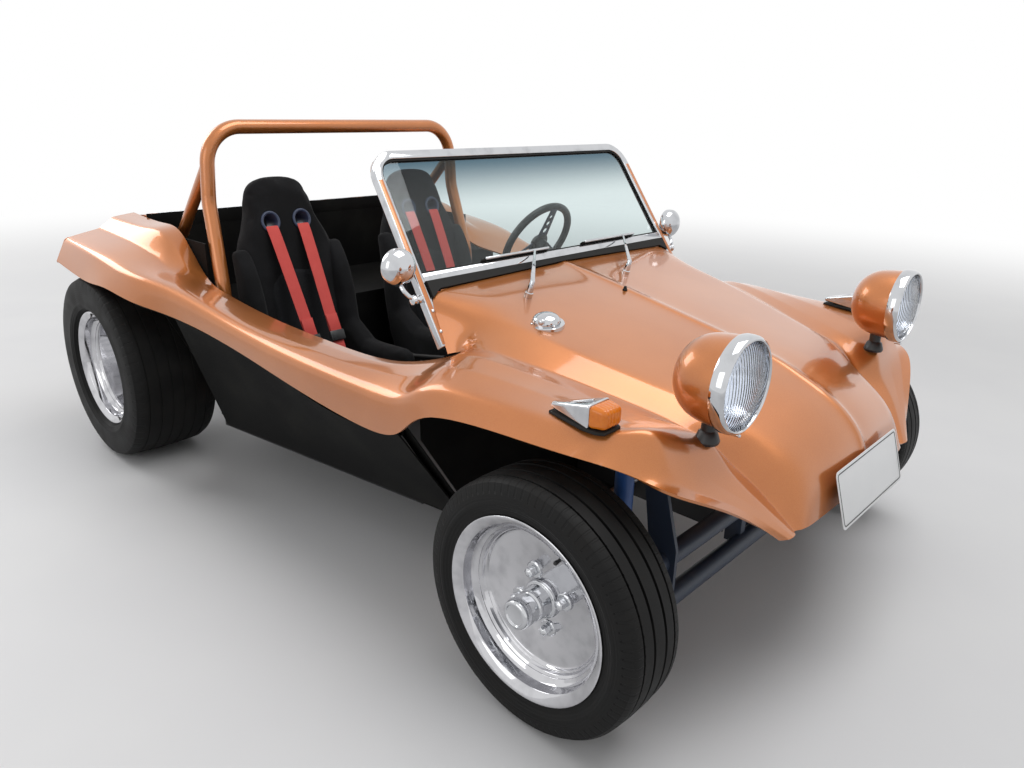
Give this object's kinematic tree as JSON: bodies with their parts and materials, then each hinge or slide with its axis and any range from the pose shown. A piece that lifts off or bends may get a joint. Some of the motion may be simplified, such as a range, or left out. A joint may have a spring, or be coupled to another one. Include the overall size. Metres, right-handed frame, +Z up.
{
  "type": "dune buggy",
  "caption": "Open dune buggy with a copper moulded body, framed windscreen, roll bar, high-backed bucket seats with red harnesses, dished wheels and an open rear engine",
  "frame": {"origin": "on the ground, on the centre plane, half-way along the overall length", "axes": "+X to the car's left, +Y to its rear, +Z up"},
  "size_m": [1.7732, 3.0106, 1.1949],
  "materials": {
    "body_paint": "copper metallic gel coat under clear gloss",
    "bar_paint": "copper metallic gloss paint",
    "pod_paint": "copper metallic gloss paint with a chrome rim",
    "black_liner": "textured black",
    "black_steel": "satin black chassis paint",
    "beam_steel": "blue-grey chassis paint",
    "arm_steel": "painted forging",
    "steel": "machined",
    "chrome": "bright",
    "wheel_alloy": "polished",
    "tyre": "matt black",
    "screen_glass": "clear with a tinted top band",
    "lamp_glass": "clear fluted",
    "amber_lens": "amber moulded",
    "red_lens": "red moulded",
    "rubber": "matt black",
    "black_plastic": "satin black",
    "seat_fabric": "black woven with a grey centre",
    "belt_web": "red webbing",
    "shock_paint": "blue gloss",
    "engine_alloy": "sand-cast",
    "shroud_paint": "satin black",
    "exhaust_steel": "heat-stained",
    "plate_white": "blank white",
    "mirror_chrome": "bright"
  },
  "bodies": {
    "chassis": {"carburettor": "engine_alloy", "cylinder_banks": "engine_alloy", "dashboard": "body_paint", "engine_case": "engine_alloy", "exhaust": "exhaust_steel", "fan_shroud": "shroud_paint", "fender_ends": "body_paint", "floor_pan": "black_steel", "front_beam": "beam_steel", "front_body": "body_paint", "front_bulkhead": "black_liner", "front_shocks": "shock_paint", "fuel_cap": "chrome", "generator": "steel", "hand_levers": "black_steel", "harnesses": "belt_web", "headlamp_lenses": "lamp_glass", "headlamps": "pod_paint", "mirrors": "mirror_chrome", "number_plate": "plate_white", "pedals": "black_steel", "rear_bulkhead": "black_liner", "rear_fenders": "body_paint", "rear_frame": "black_steel", "rear_panel": "body_paint", "rear_shocks": "shock_paint", "rear_tub": "black_liner", "roll_bar": "bar_paint", "screen_seal": "rubber", "seat_rails": "black_steel", "seats": "seat_fabric", "side_sills": "body_paint", "signal_lenses": "amber_lens", "spring_plates": "arm_steel", "steering_column": "black_steel", "tail_lamps": "red_lens", "trailing_arms": "arm_steel", "transaxle": "engine_alloy", "tub_sides": "black_liner", "turn_signals": "chrome", "windscreen_frame": "chrome", "windscreen_glass": "screen_glass", "wipers": "chrome"},
    "steering_wheel": {"steering_wheel": "black_plastic"},
    "tie_rods": {"tie_rods": "steel"},
    "knuckle_left": {"knuckle_left": "arm_steel"},
    "front_wheel_left": {"front_rim_left": "wheel_alloy", "front_tyre_left": "tyre"},
    "rear_wheel_left": {"rear_rim_left": "wheel_alloy", "rear_tyre_left": "tyre"},
    "knuckle_right": {"knuckle_right": "arm_steel"},
    "front_wheel_right": {"front_rim_right": "wheel_alloy", "front_tyre_right": "tyre"},
    "rear_wheel_right": {"rear_rim_right": "wheel_alloy", "rear_tyre_right": "tyre"}
  },
  "joints": [
    {"name": "steer_left", "type": "hinge", "parent": "chassis", "child": "knuckle_left", "pos_m": [0.596, -1.095, 0.286], "axis": [0, 0, 1], "range_deg": [-28, 28]},
    {"name": "steer_right", "type": "hinge", "parent": "chassis", "child": "knuckle_right", "pos_m": [-0.596, -1.095, 0.286], "axis": [0, 0, 1], "range_deg": [-28, 28]},
    {"name": "steering_wheel_turn", "type": "hinge", "parent": "chassis", "child": "steering_wheel", "pos_m": [0.309, -0.135, 0.8], "axis": [0, 0.8829, 0.4695], "range_deg": [-401, 401]},
    {"name": "tie_rod_slide", "type": "slide", "parent": "chassis", "child": "tie_rods", "axis": [1, 0, 0], "range_m": [-0.035, 0.035]},
    {"name": "front_wheel_left_roll", "type": "hinge", "parent": "knuckle_left", "child": "front_wheel_left", "pos_m": [0.706, -1.095, 0.286], "axis": [1, 0, 0], "continuous": true},
    {"name": "rear_wheel_left_roll", "type": "hinge", "parent": "chassis", "child": "rear_wheel_left", "pos_m": [0.7375, 0.905, 0.333], "axis": [1, 0, 0], "continuous": true},
    {"name": "front_wheel_right_roll", "type": "hinge", "parent": "knuckle_right", "child": "front_wheel_right", "pos_m": [-0.706, -1.095, 0.286], "axis": [1, 0, 0], "continuous": true},
    {"name": "rear_wheel_right_roll", "type": "hinge", "parent": "chassis", "child": "rear_wheel_right", "pos_m": [-0.7375, 0.905, 0.333], "axis": [1, 0, 0], "continuous": true}
  ],
  "couplings": [
    {"joint": "steer_right", "follows": "steer_left", "ratio": 1},
    {"joint": "steering_wheel_turn", "follows": "steer_left", "ratio": 14.3},
    {"joint": "tie_rod_slide", "follows": "steer_left", "m_per_rad": -0.07}
  ]
}
